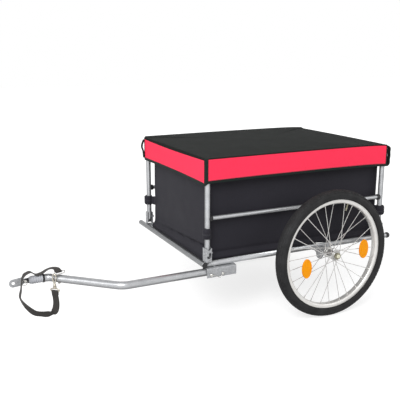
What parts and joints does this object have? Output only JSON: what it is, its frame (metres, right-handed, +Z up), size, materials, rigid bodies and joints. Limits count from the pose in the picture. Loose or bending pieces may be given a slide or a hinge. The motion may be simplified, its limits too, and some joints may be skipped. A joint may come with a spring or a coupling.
{
  "type": "bike cargo trailer",
  "caption": "Bicycle cargo trailer: tube base, folding side frames, fabric box with fitted cover, spoked quick-release wheels, offset tow bar with axle hitch and safety strap.",
  "frame": {"origin": "on the ground, under the centre of the bounding box", "axes": "+X rearward (the hitch points to -X), -Y the side that carries the tow bar, +Z up"},
  "size_m": [1.5136, 0.825, 0.641],
  "materials": {
    "tube": "bright zinc plated tube",
    "sheet": "galvanised pressed sheet",
    "bright": "nickel plated",
    "alloy": "brushed, clear coated",
    "dark": "blackened",
    "plastic": "satin black",
    "tyre": "matt black rubber",
    "grey_rubber": "matt grey",
    "cloth": "coated oxford weave",
    "cover_cloth": "coated oxford weave, red band with a dark top",
    "webbing": "black webbing",
    "amber": "clear amber, prismatic behind",
    "cream": "cream, glossy"
  },
  "bodies": {
    "base": {"left_base_tube": "tube", "right_base_tube": "tube", "front_cross_tube": "tube", "axle_cross_tube": "tube", "rear_cross_tube": "tube", "left_axle_plate": "sheet", "right_axle_plate": "sheet", "left_front_bracket": "sheet", "left_rear_bracket": "sheet", "right_front_bracket": "sheet", "right_rear_bracket": "sheet", "tow_bracket": "sheet", "tow_stop_bolt": "bright", "left_end_ball": "plastic", "right_end_ball": "plastic", "front_tube_left_plug": "plastic", "front_tube_right_plug": "plastic", "bag_floor": "cloth", "front_cloth": "cloth", "rear_cloth": "cloth"},
    "left_frame": {"left_front_post": "tube", "left_rear_post": "tube", "left_top_rail": "tube", "left_mid_rail": "tube", "left_front_bushing": "plastic", "left_rear_bushing": "plastic", "left_side_cloth": "cloth"},
    "right_frame": {"right_front_post": "tube", "right_rear_post": "tube", "right_top_rail": "tube", "right_mid_rail": "tube", "right_front_bushing": "plastic", "right_rear_bushing": "plastic", "right_side_cloth": "cloth"},
    "cover": {"cover": "cover_cloth"},
    "left_axle": {"left_axle": "dark"},
    "left_button": {"left_axle_button": "cream"},
    "left_wheel": {"left_tyre": "tyre", "left_rim": "alloy", "left_hub_and_spokes": "bright", "left_reflector_a": "amber", "left_reflector_b": "amber"},
    "right_axle": {"right_axle": "dark"},
    "right_button": {"right_axle_button": "cream"},
    "right_wheel": {"right_tyre": "tyre", "right_rim": "alloy", "right_hub_and_spokes": "bright", "right_reflector_a": "amber", "right_reflector_b": "amber"},
    "tow": {"tow_bar": "tube", "tow_collar": "plastic", "rubber_joint": "grey_rubber", "clevis": "dark", "strap_ring": "bright", "safety_strap": "webbing", "snap_hook": "bright"},
    "lock_pin": {"tow_lock_pin": "bright"},
    "hitch": {"hitch_plate": "sheet"},
    "hitch_pin": {"hitch_pin": "bright"},
    "gate": {"hook_gate": "bright"}
  },
  "joints": [
    {"name": "left_side_fold", "type": "hinge", "parent": "base", "child": "left_frame", "pos_m": [0.30317, -0.285, 0.296], "axis": [-1, 0, 0], "range_deg": [0, 90], "deforming": ["front_cloth", "rear_cloth"]},
    {"name": "right_side_fold", "type": "hinge", "parent": "base", "child": "right_frame", "pos_m": [0.30317, 0.285, 0.296], "axis": [1, 0, 0], "range_deg": [0, 72]},
    {"name": "cover_lift", "type": "slide", "parent": "base", "child": "cover", "axis": [0, 0, 1], "range_m": [0, 0.35]},
    {"name": "left_wheel_release", "type": "slide", "parent": "base", "child": "left_axle", "axis": [0, -1, 0], "range_m": [0, 0.08]},
    {"name": "left_axle_button", "type": "slide", "parent": "left_axle", "child": "left_button", "axis": [0, 1, 0], "range_m": [0, 0.003], "stiffness_N_per_m": 800, "springref_m": -0.003},
    {"name": "left_wheel_spin", "type": "hinge", "parent": "left_axle", "child": "left_wheel", "pos_m": [0.40117, -0.37, 0.25], "axis": [0, 1, 0], "continuous": true},
    {"name": "right_wheel_release", "type": "slide", "parent": "base", "child": "right_axle", "axis": [0, 1, 0], "range_m": [0, 0.08]},
    {"name": "right_axle_button", "type": "slide", "parent": "right_axle", "child": "right_button", "axis": [0, -1, 0], "range_m": [0, 0.003], "stiffness_N_per_m": 800, "springref_m": -0.003},
    {"name": "right_wheel_spin", "type": "hinge", "parent": "right_axle", "child": "right_wheel", "pos_m": [0.40117, 0.37, 0.25], "axis": [0, 1, 0], "continuous": true},
    {"name": "tow_bar_release", "type": "slide", "parent": "base", "child": "tow", "axis": [-1, 0, 0], "range_m": [0, 0.13]},
    {"name": "tow_lock_pin_pull", "type": "slide", "parent": "base", "child": "lock_pin", "axis": [0, -1, 0], "range_m": [0, 0.05]},
    {"name": "hitch_pitch", "type": "hinge", "parent": "tow", "child": "hitch", "pos_m": [-0.70183, -0.0925, 0.2265], "axis": [0, 1, 0], "range_deg": [-30, 30]},
    {"name": "hitch_pin_pull", "type": "slide", "parent": "tow", "child": "hitch_pin", "axis": [0, -1, 0], "range_m": [0, 0.03]},
    {"name": "hook_gate_swing", "type": "hinge", "parent": "tow", "child": "gate", "pos_m": [-0.6048, -0.12957, 0.2186], "axis": [-0.6828, -0.7306, 0], "range_deg": [0, 25], "stiffness_Nm_per_rad": 0.02, "springref_deg": -11.46}
  ],
  "couplings": [
    {"joint": "right_side_fold", "follows": "left_side_fold", "ratio": 0.8}
  ]
}
